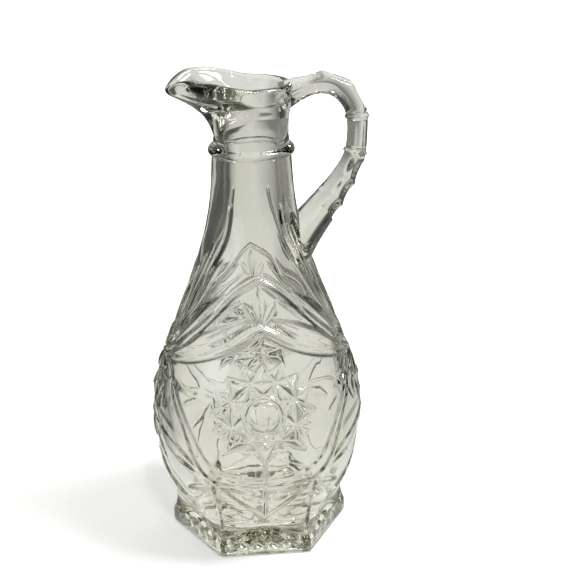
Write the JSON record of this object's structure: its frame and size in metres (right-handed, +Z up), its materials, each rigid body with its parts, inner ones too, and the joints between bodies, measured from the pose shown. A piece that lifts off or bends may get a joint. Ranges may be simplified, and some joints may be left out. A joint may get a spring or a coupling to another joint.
{
  "type": "glass cruet",
  "caption": "Clear pressed-glass cruet with a round relief-patterned belly, hexagonal foot, ringed neck, pouring lip and notched loop handle.",
  "frame": {"origin": "middle of the flat underside of the foot, on the axis of the bottle", "axes": "+Z up along the axis of the bottle, -X towards the pouring lip, +X towards the handle, -Y the front pattern panel"},
  "size_m": [0.0732, 0.0712, 0.1619],
  "materials": {
    "glass": "clear pressed soda-lime glass, fire-polished, with a faint grey-green tint"
  },
  "bodies": {
    "root": {"cruet": "glass"}
  },
  "joints": []
}
